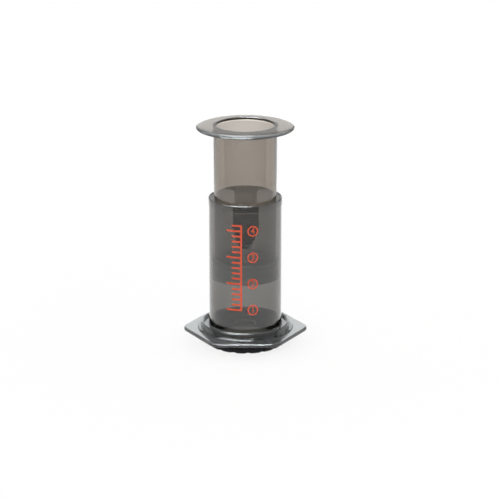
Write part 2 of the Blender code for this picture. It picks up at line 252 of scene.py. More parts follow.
def face_outwards(item, sharp=32):
    """Weld a closed mesh, point its faces out, smooth it, and keep its sharp edges."""
    shape = bmesh.new()
    shape.from_mesh(item.data)
    bmesh.ops.remove_doubles(shape, verts=shape.verts, dist=WELD)
    bmesh.ops.recalc_face_normals(shape, faces=shape.faces)
    loose = sum(not edge.is_manifold for edge in shape.edges)
    shape.to_mesh(item.data)
    shape.free()
    item.data.shade_smooth()
    item.data.set_sharp_from_angle(angle=math.radians(sharp))
    print(item.name, len(item.data.polygons), "faces,", loose, "open edges")


# %% [markdown]
# ## Clear smoke plastic
#
# Both tubes are clear copolyester with a trace of smoke dye, injection moulded in polished
# tools. A tinted surface would colour every wall alike, however thick it is. The dye is in
# the plastic, so a Volume Absorption shader inside a clear surface is closer to the truth: the
# thin walls stay light, and the thick hub and the flange's edges go dark as on the real press.
# Faint flow waves, rub marks along the tube and finger haze keep it from looking like glass.
# Palms dull the plunger's brim, and the fingers that hold the press on its mug dull the top of
# the flange. Their fine scratches are a rough coat over the clear plastic, which spreads a
# soft sheen and leaves the inside clear.


# %% Colours and clean node trees
def linear(code):
    """sRGB hex colour as linear red, green, blue and alpha."""
    channels = [int(code[place:place + 2], 16) / 255 for place in (0, 2, 4)]
    return tuple(value / 12.92 if value <= 0.04045 else ((value + 0.055) / 1.055) ** 2.4
                 for value in channels) + (1.0,)


def clean_tree(owner):
    """Turn the nodes of a material or a world on, and start with none."""
    owner.use_nodes = True
    owner.node_tree.nodes.clear()
    return owner.node_tree


def new_material(name):
    """A material without a shader yet, its tree, and the Object coordinates it reads."""
    material = bpy.data.materials.new(name)
    tree = clean_tree(material)
    return material, tree, add_node(tree, "ShaderNodeTexCoord").outputs["Object"]


def clouded(tree, place, size, detail, dark, light):
    """Noise with clouds of a size in mm, and a colour that drifts with it."""
    clouds = add_node(tree, "ShaderNodeTexNoise",
                      {"Vector": place, "Scale": 1 / (size * MM), "Detail": detail})
    tint = add_node(tree, "ShaderNodeMix",
                    {"Factor": clouds, "A": linear(dark), "B": linear(light)},
                    data_type="RGBA")
    return clouds, tint


def embossed(tree, place, size, detail, strength, depth, **under):
    """Bump from noise, its size and depth in mm, over another bump where one is given."""
    grain = add_node(tree, "ShaderNodeTexNoise",
                     {"Vector": place, "Scale": 1 / (size * MM), "Detail": detail})
    return add_node(tree, "ShaderNodeBump", {"Height": grain, "Strength": strength,
                                             "Distance": depth * MM, **under})


print("white as linear:", linear("ffffff"))

# %% Where hands dull the plastic
BRIM_WIDEST = 195.0 * MM    # height at which the plunger's brim is widest
STEP = 41.8 * MM            # outer radius of the step at the foot of the chamber's ring
FLANGE_TOP = 14.0 * MM
FINGER_HAZE = 0.02          # roughness of the plastic where it is clean
FINGER_SMEAR = 0.05         # added in smeared patches
PALM_HAZE = 0.12            # added on the brim
PALM_SHEEN = 0.25           # weight of the scratched coat on the brim
SCRATCH_ROUGH = 0.4         # roughness of that coat
print("hands dull the brim above", BRIM_WIDEST / MM, "mm and the flange at", FLANGE_TOP / MM)


# %% Haze and fine scratches from hands
def handled(tree, place, held):
    """Roughness from fingers and palms, and the weight of the scratched coat."""
    # Finger haze in patches of about 12 mm
    patches = add_node(tree, "ShaderNodeTexNoise",
                       {"Vector": place, "Scale": 1 / (12 * MM), "Detail": 4.0})
    hazy = add_node(tree, "ShaderNodeMapRange",
                    {"Value": patches, "From Min": 0.45, "From Max": 0.75,
                     "To Min": FINGER_HAZE, "To Max": FINGER_HAZE + FINGER_SMEAR})
    # The top of the plunger's brim
    spot = add_node(tree, "ShaderNodeSeparateXYZ", {"Vector": place})
    palmed = add_node(tree, "ShaderNodeMapRange",
                      {"Value": spot.outputs["Z"], "From Min": BRIM_WIDEST,
                       "From Max": BRIM_WIDEST + 1 * MM})
    rough = add_node(tree, "ShaderNodeMath", {0: palmed, 1: PALM_HAZE, 2: hazy},
                     operation="MULTIPLY_ADD")
    # The top of the flange, outside the step
    level = add_node(tree, "ShaderNodeMapping", {"Vector": place, "Scale": (1, 1, 0)})
    reach = add_node(tree, "ShaderNodeVectorMath", {0: level}, operation="LENGTH")
    outside = add_node(tree, "ShaderNodeMapRange",
                       {"Value": reach.outputs["Value"], "From Min": STEP,
                        "From Max": STEP + 0.3 * MM, "To Max": held})
    on_top = add_node(tree, "ShaderNodeMapRange",
                      {"Value": spot.outputs["Z"], "From Min": FLANGE_TOP - 0.6 * MM,
                       "From Max": FLANGE_TOP - 0.1 * MM})
    scratched = add_node(tree, "ShaderNodeMath", {0: outside, 1: on_top}, operation="MULTIPLY")
    sheen = add_node(tree, "ShaderNodeMath", {0: palmed, 1: PALM_SHEEN, 2: scratched},
                     operation="MULTIPLY_ADD")
    return rough, sheen


print("roughness runs from", FINGER_HAZE, "to", FINGER_HAZE + FINGER_SMEAR + PALM_HAZE)


# %% Clear plastic material
def clear_plastic(name, dye, density, held):
    """Moulded clear plastic with dye in it; held is how scratched the flange's top is."""
    material, tree, place = new_material(name)
    # Very faint flow clouds in the skin, about 30 mm across
    skin = clouded(tree, place, size=30, detail=2.0, dark="f6f6f4", light="ffffff")[1]
    rough, sheen = handled(tree, place, held)
    # Flow waves about 9 mm long that bend reflections very slightly
    wavy = embossed(tree, place, size=9, detail=1.0, strength=0.25, depth=0.05)
    # Rub marks run along the tube: 0.4 mm across and 30 mm long
    along = add_node(tree, "ShaderNodeMapping", {"Vector": place, "Scale": (1, 1, 0.4 / 30)})
    fine = embossed(tree, along, size=0.4, detail=1.0, strength=0.15, depth=0.002, Normal=wavy)
    shader = add_node(tree, "ShaderNodeBsdfPrincipled",
                      {"Base Color": skin, "Roughness": rough, "IOR": 1.57,
                       "Transmission Weight": 1.0, "Normal": fine, "Coat Weight": sheen,
                       "Coat Roughness": SCRATCH_ROUGH})
    inside = add_node(tree, "ShaderNodeVolumeAbsorption",
                      {"Color": linear(dye), "Density": density})
    add_node(tree, "ShaderNodeOutputMaterial", {"Surface": shader, "Volume": inside})
    passed = [math.exp(density * (part - 1) * 2 * MM) for part in linear(dye)[:3]]
    print(name, "lets through 2 mm:", [round(share, 2) for share in passed])
    return material


# %% Dye the two tubes
# The chamber's wall is 1.8 mm thick, and the plunger's paler one 2 mm
chamber_plastic = clear_plastic("clear_copolyester_smoke_moulded", dye="736b5f",
                                density=640.0, held=0.85)
plunger_plastic = clear_plastic("clear_copolyester_pale_smoke_moulded", dye="a5937c",
                                density=420.0, held=0.0)

# %% [markdown]
# ## The plunger
#
# The plunger is an open tube with a closed foot. A button-shaped boss under the foot holds the
# seal, and the top flares out into a thin domed brim that the palm presses on. The whole of it
# is one outline turned about the axis. The dome's skin is a quarter ellipse, so it starts
# level at the hole and falls away steeply at the edge. The brim's underside arches a little
# too, because a plain cone there looks see-through at its sides.

# %% Sizes of the plunger
BOSS_BOTTOM = 66.3 * MM
BOSS = 21.0 * MM            # outer radius of the boss
BEAD = 21.8 * MM            # outer radius of the bead that the seal snaps over
BEAD_TOP = 68.8 * MM
BEAD_SLOPE = 0.8 * MM
SHOULDER = 78.3 * MM        # underside of the tube's closed foot
SHAFT_FOOT = 26.9 * MM      # outer radius of the tube at its foot
SHAFT_NECK = 27.5 * MM      # the same under the brim
WALL = 2.0 * MM
BRIM = 42.5 * MM            # outer radius of the brim
BRIM_TUCK = 41.3 * MM       # radius at which its edge rounds under
BRIM_BOTTOM = 194.1 * MM
PRESS_TOP = 197.4 * MM
HOLE = 25.5 * MM            # radius of the hole through the brim
HOLE_LIP = 0.7 * MM         # rounding of its edge
ARCH = 0.9 * MM             # rise of the brim's underside from its edge to the tube
ARCH_STEPS = 12
PLUNGER_STEPS = 240         # round the axis
print("plunger", round((PRESS_TOP - BOSS_BOTTOM) / MM, 2), "mm high")


# %% Outline of the brim
def ellipse(middle, reach, rise, first, last, steps):
    """Points on an ellipse about a middle, from one angle to another in degrees."""
    angles = [math.radians(first + (last - first) * step / steps) for step in range(steps + 1)]
    return [(middle[0] + reach * math.cos(angle), middle[1] + rise * math.sin(angle))
            for angle in angles]


arch = [(SHAFT_NECK + (BRIM_TUCK - SHAFT_NECK) * share,
         BRIM_BOTTOM + ARCH * (1 - share ** 2), 0)
        for share in (step / ARCH_STEPS for step in range(2, ARCH_STEPS + 1))]
edge = ellipse((BRIM_TUCK, BRIM_WIDEST), BRIM - BRIM_TUCK, BRIM_WIDEST - BRIM_BOTTOM,
               first=-90, last=0, steps=5)[1:]
dome = ellipse((HOLE + HOLE_LIP, BRIM_WIDEST), BRIM - HOLE - HOLE_LIP, PRESS_TOP - BRIM_WIDEST,
               first=0, last=90, steps=28)[1:]
hole_lip = ellipse((HOLE + HOLE_LIP, PRESS_TOP - HOLE_LIP), HOLE_LIP, HOLE_LIP,
                   first=90, last=180, steps=6)[1:-1]
print("brim outline:", len(arch) + len(edge) + len(dome) + len(hole_lip), "points")

# %% Turn the plunger
foot_corners = [(0, BOSS_BOTTOM, 0),
                (BEAD, BOSS_BOTTOM, 0.7),
                (BEAD, BEAD_TOP, 0.5),
                (BOSS, BEAD_TOP + BEAD_SLOPE, 0.4),
                (BOSS, SHOULDER, 0.4),
                (SHAFT_FOOT, SHOULDER, 0.8),
                (SHAFT_NECK, BRIM_BOTTOM + ARCH, 0.8),
                *arch]
inside_corners = [(HOLE, PRESS_TOP - HOLE_LIP, 0),
                  (SHAFT_FOOT - WALL, SHOULDER + WALL, 0.8),
                  (BOSS - WALL, SHOULDER + WALL, 0.6),
                  (BOSS - WALL, BOSS_BOTTOM + WALL, 0.8),
                  (0, BOSS_BOTTOM + WALL, 0)]
plunger_outline = rounded(foot_corners) + edge + dome + hole_lip + rounded(inside_corners)
plunger = turn("plunger_body", plunger_outline, plunger_plastic, PLUNGER_STEPS)
face_outwards(plunger)
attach(plunger, "plunger")
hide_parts("plunger")

# %% [markdown]
# ## The seal
#
# A soft silicone cup pushes on over the boss. Two lips wipe the bore, and a groove inside
# grips the boss's bead. The dyed silicone is cloudy, so a little transmission over a dark
# grey-green body with a satin skin shows it right. Slightly rougher bands run round it where
# the lips rub.

# %% Silicone
seal_silicone, tree, place = new_material("silicone_rubber_smoke_moulded")
# Cloudy dye, about 15 mm across
tint = clouded(tree, place, size=15, detail=3.0, dark="8b918c", light="989e98")[1]
# Rub bands round the lips, about 0.5 mm high
flat = add_node(tree, "ShaderNodeMapping", {"Vector": place, "Scale": (0.04, 0.04, 1)})
bands = add_node(tree, "ShaderNodeTexNoise",
                 {"Vector": flat, "Scale": 1 / (0.5 * MM), "Detail": 2.0})
rough = add_node(tree, "ShaderNodeMapRange", {"Value": bands, "To Min": 0.28, "To Max": 0.5})
# Eggshell skin of the mould, grains about 0.3 mm
skin = embossed(tree, place, size=0.3, detail=1.0, strength=0.2, depth=0.01)
shader = add_node(tree, "ShaderNodeBsdfPrincipled",
                  {"Base Color": tint, "Roughness": rough, "IOR": 1.41,
                   "Transmission Weight": 0.45, "Normal": skin})
add_node(tree, "ShaderNodeOutputMaterial", {"Surface": shader})
print(seal_silicone.name, "has", len(tree.nodes), "nodes")

# %% Sizes of the seal
SEAL_BOTTOM = 61.0 * MM
SEAL_FLOOR = 66.0 * MM      # floor of the socket that takes the boss
SEAL_TOP = 78.0 * MM
LIP = 29.7 * MM             # outer radius of the two lips
LIP_RUN = 2.2 * MM          # height of a lip
LIP_SLOPE = 1.8 * MM        # height of the slope from a lip to the waist
WAIST = 28.6 * MM           # outer radius between the lips
SOCKET = 21.3 * MM          # inner radius above the bead
SOCKET_BOTTOM = BEAD_TOP + 1.1 * MM
GROOVE = 22.1 * MM          # inner radius at the bead
GROOVE_TOP = BEAD_TOP + 0.3 * MM
ROUND_STEPS = 180           # round the axis, for the seal, the paper and the drip plate
print("seal", round((SEAL_TOP - SEAL_BOTTOM) / MM, 2), "mm high")

# %% Turn the seal
seal_corners = [(0, SEAL_BOTTOM, 0),
                (LIP, SEAL_BOTTOM, 0.8),
                (LIP, SEAL_BOTTOM + LIP_RUN, 0.5),
                (WAIST, SEAL_BOTTOM + LIP_RUN + LIP_SLOPE, 0.6),
                (WAIST, SEAL_TOP - LIP_RUN - LIP_SLOPE, 0.6),
                (LIP, SEAL_TOP - LIP_RUN, 0.5),
                (LIP, SEAL_TOP, 0.8),
                (SOCKET, SEAL_TOP, 0.4),
                (SOCKET, SOCKET_BOTTOM, 0.3),
                (GROOVE, GROOVE_TOP, 0.3),
                (GROOVE, SEAL_FLOOR, 0.3),
                (0, SEAL_FLOOR, 0)]
seal = turn("seal_cup", rounded(seal_corners), seal_silicone, ROUND_STEPS)
face_outwards(seal)
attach(seal, "seal")
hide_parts("plunger_seal")

# %% [markdown]
# ## The paper
#
# A thin disc of white filter paper lies on the drip plate. Its crepe is a fine wavy bump, and
# its fibres tint it very slightly. The disc is turned like the rest, and its rim stays square
# because paper is die cut.

# %% Paper
filter_paper, tree, place = new_material("cellulose_paper_creped")
# Fibre clumps about 2 mm across
tint = clouded(tree, place, size=2, detail=6.0, dark="e2dfd6", light="f0eee7")[1]
# Crepe ridges 0.9 mm apart, bent by noise
crepe = add_node(tree, "ShaderNodeTexWave",
                 {"Vector": place, "Scale": 1 / (2.8 * MM), "Distortion": 3.0, "Detail": 2.0,
                  "Detail Scale": 2.0}, wave_type="BANDS", bands_direction="Y")
ridges = add_node(tree, "ShaderNodeBump",
                  {"Height": crepe, "Strength": 0.5, "Distance": 0.05 * MM})
shader = add_node(tree, "ShaderNodeBsdfPrincipled",
                  {"Base Color": tint, "Roughness": 0.92, "Normal": ridges,
                   "Specular IOR Level": 0.2})
add_node(tree, "ShaderNodeOutputMaterial", {"Surface": shader})
print(filter_paper.name, "has", len(tree.nodes), "nodes")

# %% Turn the paper
PAPER = 31.75 * MM          # radius
PAPER_BOTTOM = 2.75 * MM
PAPER_TOP = 2.9 * MM

paper_outline = [(0, PAPER_BOTTOM), (PAPER, PAPER_BOTTOM), (PAPER, PAPER_TOP), (0, PAPER_TOP)]
paper = turn("paper_disc", paper_outline, filter_paper, ROUND_STEPS)
face_outwards(paper)
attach(paper, "filter_cap")
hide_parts("paper_filter")

# %% [markdown]
# ## The chamber
#
# The brewing tube, the ring at its foot, the six-sided flange and the bayonet neck are one
# moulding. It could be cut together from solids, but a grid of rows and columns that follows
# the outline all the way round keeps the clear walls clean, with no slivers to show up as
# flaws in reflections. Most rows are circles. The flange's rows take their radius from a
# rounded hexagon, and the lugs' rows step out at four places.

# %% Sizes of the chamber
BORE = 30.0 * MM            # inner radius of the tube
TUBE_FOOT = 31.8 * MM       # outer radius of the tube at the trough
TUBE_NECK = 31.55 * MM      # the same under the rim band
RIM = 32.0 * MM             # outer radius of the rim band
RIM_TOP = 133.0 * MM
RIM_BAND = 126.55 * MM      # height of the band's lowest edge
RIM_DEPTH = 6 * MM          # from the rim's top to where the band slopes in

TROUGH = 17.5 * MM          # floor of the trough between the tube and the ring
RING_INNER = 36.2 * MM
RING = 38.2 * MM            # outer radius of the ring at its top
RING_FOOT = 39.2 * MM
RING_TOP = 19.6 * MM
STEP_TOP = 15.2 * MM
BEVEL = 0.5 * MM            # of the step's edge, which catches a line of light

FLANGE_BOTTOM = 11.0 * MM
FLANGE_FLAT = 48.5 * MM     # axis to a flat side of the six-sided flange
FLANGE_CORNER = 12.0 * MM   # rounding of its corners

MOUTH = 36.2 * MM           # wide mouth of the pocket that hides the cap's rim
MOUTH_TOP = 12.2 * MM
POCKET = 35.2 * MM
POCKET_TOP = 15.5 * MM
NECK = 31.3 * MM            # neck that the cap turns on to
NECK_BOTTOM = 3.2 * MM
LUG = 32.4 * MM             # outer radius of the bayonet lugs
LUG_BOTTOM = 4.6 * MM
LUG_TOP = 6.8 * MM
LUG_HALF = 15.01            # degrees from a lug's middle to its end
LUG_END = 15.2              # degrees at which the row is back on the neck
print("chamber", round((RIM_TOP - NECK_BOTTOM) / MM, 2), "mm high")


# %% Radii of the rows that aren't circles
def hexagon_radius(flat, corner, angle):
    """Radius of a rounded hexagon with a flat side to the front, at one bearing."""
    sixth = math.pi / 3
    turn_off = (angle + sixth / 2) % sixth - sixth / 2
    reach = (flat - corner) / math.cos(sixth / 2)
    side = flat / math.cos(sixth / 2 - abs(turn_off))
    edge_start = math.atan2(corner * math.sin(sixth / 2),
                            reach + corner * math.cos(sixth / 2))
    if abs(turn_off) >= edge_start:
        return side
    across = reach * math.sin(abs(turn_off))
    return reach * math.cos(turn_off) + math.sqrt(corner ** 2 - across ** 2)


def row_radius(angle, radius, tag=""):
    """Radius of one row of the chamber's outline at an angle about the axis."""
    if tag == "flange":
        inset = FLANGE_FLAT - radius
        return hexagon_radius(FLANGE_FLAT - inset, FLANGE_CORNER - inset, angle)
    if tag == "lug":
        quarter = math.pi / 2
        off_lug = abs((angle + quarter / 2) % quarter - quarter / 2)
        return LUG if off_lug <= math.radians(LUG_HALF) else NECK
    return radius


flange_width = 2 * hexagon_radius(FLANGE_FLAT, FLANGE_CORNER, 0)
print("flange over its corners:", round(flange_width / MM, 2), "mm")

# %% Outline of the chamber
chamber_corners = [(BORE, NECK_BOTTOM, 0.3),
                   (BORE, RIM_TOP, 0.9),
                   (RIM, RIM_TOP, 0.9),
                   (RIM, RIM_TOP - RIM_DEPTH, 0.2),
                   (TUBE_NECK, RIM_BAND, 0.2),
                   (TUBE_FOOT, TROUGH, 1.2),
                   (RING_INNER, TROUGH, 0.4),
                   (RING_INNER, RING_TOP, 0.9),
                   (RING, RING_TOP, 0.9),
                   (RING_FOOT, STEP_TOP, 0.4),
                   (STEP - BEVEL, STEP_TOP, 0.3),
                   (STEP, STEP_TOP - BEVEL, 0.3),
                   (STEP, FLANGE_TOP, 0.3),
                   (FLANGE_FLAT, FLANGE_TOP, 1.3, "flange"),
                   (FLANGE_FLAT, FLANGE_BOTTOM, 0.6, "flange"),
                   (MOUTH, FLANGE_BOTTOM, 0.3),
                   (MOUTH, MOUTH_TOP, 0.2),
                   (POCKET, MOUTH_TOP, 0.2),
                   (POCKET, POCKET_TOP, 0.6),
                   (NECK, POCKET_TOP, 0.6),
                   (NECK, LUG_TOP, 0),
                   (LUG, LUG_TOP, 0, "lug"),
                   (LUG, LUG_BOTTOM, 0, "lug"),
                   (NECK, LUG_BOTTOM, 0),
                   (NECK, NECK_BOTTOM, 0.3)]
rows = rounded(chamber_corners, closed=True)
lug_ends = [quarter * 90 + side * LUG_END for quarter in range(4) for side in (-1, 1)]
bearings = sorted([math.radians(step) for step in range(360)]
                  + [math.radians(end % 360) for end in lug_ends])
print("chamber grid:", len(rows), "rows by", len(bearings), "columns")

# %% Build the chamber
points = []
for radius, height, *tag in rows:
    for bearing in bearings:
        reach = row_radius(bearing, radius, *tag)
        points.append((reach * math.cos(bearing), reach * math.sin(bearing), height))
faces = []
around = len(bearings)
for row in range(len(rows)):
    for column in range(around):
        below = (row + 1) % len(rows) * around
        after = (column + 1) % around
        faces.append((row * around + column, row * around + after, below + after,
                      below + column))
mesh = bpy.data.meshes.new("chamber_body")
mesh.from_pydata(points, [], faces)
mesh.materials.append(chamber_plastic)
chamber = new_object("chamber_body", mesh)
face_outwards(chamber)
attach(chamber, "chamber")
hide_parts("chamber")

# %% [markdown]
# ## The drip cap
#
# The cap is a black cup that twists on to the neck. Its grip has sixteen round notches, its
# foot ring has a notch under each of them, and its drip plate has ninety-one holes. Real
# moulds cut the notches with round posts. The first tree below pulls a turned ring's skin in
# to where such a post would reach, and the second one cuts the holes, laid out in rings of
# six, twelve, eighteen and so on about the middle one.

# %% The tree that scoops notches
tree, given = new_tree("scooped", Geometry="Geometry", notches="Int", first="Float",
                       reach="Float", post="Float", top="Float", finish="Material")
place = add_node(tree, "GeometryNodeInputPosition")
spot = add_node(tree, "ShaderNodeSeparateXYZ", {"Vector": place})
# Turn each point about the axis until the notch that is nearest to it faces +X
bearing = add_node(tree, "ShaderNodeMath", {0: spot.outputs["Y"], 1: spot.outputs["X"]},
                   operation="ARCTAN2")
pitch = add_node(tree, "ShaderNodeMath", {0: 2 * math.pi, 1: given["notches"]},
                 operation="DIVIDE")
off_first = add_node(tree, "ShaderNodeMath", {0: bearing, 1: given["first"]},
                     operation="SUBTRACT")
share = add_node(tree, "ShaderNodeMath", {0: off_first, 1: pitch}, operation="DIVIDE")
number = add_node(tree, "ShaderNodeMath", {0: share}, operation="ROUND")
facing = add_node(tree, "ShaderNodeMath", {0: number, 1: pitch, 2: given["first"]},
                  operation="MULTIPLY_ADD")
swung = add_node(tree, "ShaderNodeVectorRotate", {"Vector": place, "Angle": facing},
                 rotation_type="Z_AXIS", invert=True)
seen = add_node(tree, "ShaderNodeSeparateXYZ", {"Vector": swung})
print("facing a notch takes", len(tree.nodes), "nodes")

# %% Draw each point in to the post's skin
post_square = add_node(tree, "ShaderNodeMath", {0: given["post"], 1: 2.0}, operation="POWER")
across = add_node(tree, "ShaderNodeMath",
                  {0: seen.outputs["Y"], 1: seen.outputs["Y"]}, operation="MULTIPLY")
room = add_node(tree, "ShaderNodeMath", {0: post_square, 1: across}, operation="SUBTRACT")
depth = add_node(tree, "ShaderNodeMath", {0: room}, operation="SQRT")
near = add_node(tree, "ShaderNodeMath", {0: given["reach"], 1: depth}, operation="SUBTRACT")
drawn = add_node(tree, "ShaderNodeMath", {0: seen.outputs["X"], 1: near}, operation="MINIMUM")
# Turn it back to its place
moved = add_node(tree, "ShaderNodeCombineXYZ",
                 {"X": drawn, "Y": seen.outputs["Y"], "Z": seen.outputs["Z"]})
back = add_node(tree, "ShaderNodeVectorRotate", {"Vector": moved, "Angle": facing},
                rotation_type="Z_AXIS")
# Only points inside the post's width and below its top move
inside = add_node(tree, "FunctionNodeCompare", {0: room, 1: 0.0}, data_type="FLOAT",
                  operation="GREATER_THAN")
below = add_node(tree, "FunctionNodeCompare", {0: spot.outputs["Z"], 1: given["top"]},
                 data_type="FLOAT", operation="LESS_THAN")
chosen = add_node(tree, "FunctionNodeBooleanMath", {0: inside, 1: below}, operation="AND")
cut = add_node(tree, "GeometryNodeSetPosition",
               {"Geometry": given["Geometry"], "Selection": chosen, "Position": back})
scooped = close_tree(tree, cut, given["finish"])

# %% The tree that drills the plate
tree, given = new_tree("drilled_plate", radius="Float", bottom="Float", depth="Float",
                       steps="Int", holes="Int", spacing="Float", hole="Float",
                       finish="Material")
plate = add_node(tree, "GeometryNodeMeshCylinder",
                 {"Vertices": given["steps"], "Radius": given["radius"],
                  "Depth": given["depth"]})
# Ring n ends with hole 3n(n + 1), so a hole's number gives its ring by a square root
index = add_node(tree, "GeometryNodeInputIndex")
grown = add_node(tree, "ShaderNodeMath", {0: index, 1: 4 / 3, 2: 1.0},
                 operation="MULTIPLY_ADD")
root = add_node(tree, "ShaderNodeMath", {0: grown}, operation="SQRT")
half = add_node(tree, "ShaderNodeMath", {0: root, 1: 0.5, 2: -0.50001},
                operation="MULTIPLY_ADD")
ring = add_node(tree, "ShaderNodeMath", {0: half}, operation="CEIL")
# The hole's place along its ring gives its angle
less = add_node(tree, "ShaderNodeMath", {0: ring, 1: 1.0}, operation="SUBTRACT")
inner = add_node(tree, "ShaderNodeMath", {0: ring, 1: less}, operation="MULTIPLY")
first = add_node(tree, "ShaderNodeMath", {0: inner, 1: 3.0, 2: 1.0}, operation="MULTIPLY_ADD")
step = add_node(tree, "ShaderNodeMath", {0: index, 1: first}, operation="SUBTRACT")
part = add_node(tree, "ShaderNodeMath", {0: step, 1: ring}, operation="DIVIDE")
angle = add_node(tree, "ShaderNodeMath", {0: part, 1: math.pi / 3}, operation="MULTIPLY")
reach = add_node(tree, "ShaderNodeMath", {0: ring, 1: given["spacing"]}, operation="MULTIPLY")
out = add_node(tree, "ShaderNodeCombineXYZ", {"X": reach})
spot = add_node(tree, "ShaderNodeVectorRotate", {"Vector": out, "Angle": angle},
                rotation_type="Z_AXIS")
centres = add_node(tree, "GeometryNodePoints", {"Count": given["holes"], "Position": spot})
print("laying out the holes takes", len(tree.nodes), "nodes")

# %% Drill the holes
# A drill twice as long as the plate is deep stands at each place
longer = add_node(tree, "ShaderNodeMath", {0: given["depth"], 1: 2.0}, operation="MULTIPLY")
drill = add_node(tree, "GeometryNodeMeshCylinder",
                 {"Vertices": 16, "Radius": given["hole"], "Depth": longer})
drills = add_node(tree, "GeometryNodeInstanceOnPoints",
                  {"Points": centres, "Instance": drill.outputs["Mesh"]})
real = add_node(tree, "GeometryNodeRealizeInstances", {"Geometry": drills})
holed = add_node(tree, "GeometryNodeMeshBoolean",
                 {"Mesh 1": plate.outputs["Mesh"], "Mesh 2": real}, operation="DIFFERENCE")
middle = add_node(tree, "ShaderNodeMath",
                  {0: given["depth"], 1: 0.5, 2: given["bottom"]}, operation="MULTIPLY_ADD")
up = add_node(tree, "ShaderNodeCombineXYZ", {"Z": middle})
lifted = add_node(tree, "GeometryNodeTransform",
                  {"Geometry": holed.outputs["Mesh"], "Translation": up})
drilled = close_tree(tree, lifted, given["finish"])

# %% [markdown]
# The cap is black polypropylene with a fine spark-eroded texture, so it looks satin rather
# than glossy. Coffee oil and fingers leave it a little shinier in patches.

# %% Black polypropylene
cap_plastic, tree, place = new_material("polypropylene_black_textured")
# Worn patches about 8 mm across
worn, tint = clouded(tree, place, size=8, detail=4.0, dark="08090b", light="101113")
rough = add_node(tree, "ShaderNodeMapRange",
                 {"Value": worn, "From Min": 0.35, "From Max": 0.7, "To Min": 0.48,
                  "To Max": 0.34})
# Spark texture, drawn at 0.35 mm so that it shows
skin = embossed(tree, place, size=0.35, detail=2.0, strength=0.35, depth=0.02)
shader = add_node(tree, "ShaderNodeBsdfPrincipled",
                  {"Base Color": tint, "Roughness": rough, "IOR": 1.49,
                   "Specular IOR Level": 0.12, "Normal": skin})
add_node(tree, "ShaderNodeOutputMaterial", {"Surface": shader})
print(cap_plastic.name, "has", len(tree.nodes), "nodes")

# %% Sizes of the cap
CAP_TOP = 14.0 * MM
CAP_INNER = 32.7 * MM       # inner radius round the lugs
CAP_FLOOR = 32.05 * MM      # inner radius round the paper
GRIP = 34.4 * MM            # outer radius of the ribbed side
GRIP_ROOT = 33.6 * MM       # the same at the bottom of a notch
FOOT = 33.2 * MM            # outer radius of the foot ring
FOOT_INNER = 29.0 * MM
CHAMFER = 1.2 * MM          # height of the slope from the foot ring to the side
SHELF = LUG_BOTTOM - 0.3 * MM               # below it, the cap is narrower
PLATE_BOTTOM = 0.9 * MM
PLATE_TOP = 2.45 * MM
PLATE_LAP = 0.3 * MM        # how far the plate reaches into the foot ring

NOTCHES = 16
FIRST_NOTCH = math.radians(3.9 - 90)        # 3.9 degrees to the right of the front
NOTCH_END = 0.01 * MM       # height of the sharp step at the top of a notch
SIDE_POST = 2.6 * MM        # radius of the posts that cut the side's notches
FOOT_POST = 2.5 * MM        # and the foot ring's
FOOT_NOTCH = 2 * MM         # depth of the foot ring's notches
RING_STEPS = 720            # two for each degree, so that the notches come out smooth
print("cap", round(2 * GRIP / MM, 2), "mm wide")

# %% Turn and scoop the cap's ring
on_chamfer = FOOT + (GRIP - FOOT) * PLATE_BOTTOM / CHAMFER
cap_corners = [(FOOT_INNER, 0, 0.25),
               (FOOT, 0, 0.3),
               (on_chamfer, PLATE_BOTTOM - NOTCH_END, 0),
               (on_chamfer, PLATE_BOTTOM, 0),
               (GRIP, CHAMFER, 0.3),
               (GRIP, FLANGE_BOTTOM - NOTCH_END, 0),
               (GRIP, FLANGE_BOTTOM, 0),
               (GRIP, CAP_TOP, 0.4),
               (CAP_INNER, CAP_TOP, 0.3),
               (CAP_INNER, SHELF, 0.2),
               (CAP_FLOOR, SHELF, 0.1),
               (CAP_FLOOR, PLATE_TOP, 0),
               (FOOT_INNER, PLATE_TOP, 0)]
ring_outline = rounded(cap_corners, closed=True)
ring = turn("cap_ring", ring_outline + ring_outline[:1], cap_plastic, RING_STEPS)
for root, post, top in ((GRIP_ROOT, SIDE_POST, FLANGE_BOTTOM - NOTCH_END / 2),
                        (FOOT - FOOT_NOTCH, FOOT_POST, PLATE_BOTTOM - NOTCH_END / 2)):
    ring = bake("cap_ring", scooped, ring, notches=NOTCHES, first=FIRST_NOTCH,
                reach=root + post, post=post, top=top, finish=cap_plastic)

# %% Make the plate
plate = bake("drip_plate", drilled, radius=FOOT_INNER + PLATE_LAP, bottom=PLATE_BOTTOM,
             depth=PLATE_TOP - PLATE_BOTTOM, steps=ROUND_STEPS, holes=91, spacing=5 * MM,
             hole=1 * MM, finish=cap_plastic)

# %% [markdown]
# Four tabs inside the cap slide over the neck's lugs as it turns, and a small stop at one end
# of each tab ends the turn. They are curved blocks, so a short mesh function makes them.

# %% Curved blocks
TAB_INNER = 31.6 * MM
TAB_OUTER = CAP_INNER + 0.4 * MM            # inside the cap's wall
TAB_BOTTOM = 7.1 * MM
TAB_TOP = 9.1 * MM
TAB_SWEEP = 35              # degrees
STOP_INNER = TAB_INNER + 0.1 * MM
STOP_TOP = TAB_BOTTOM + 1 * MM              # inside the tab
STOP_OFF = -16.5            # degrees from the tab's middle
STOP_SWEEP = 1.8


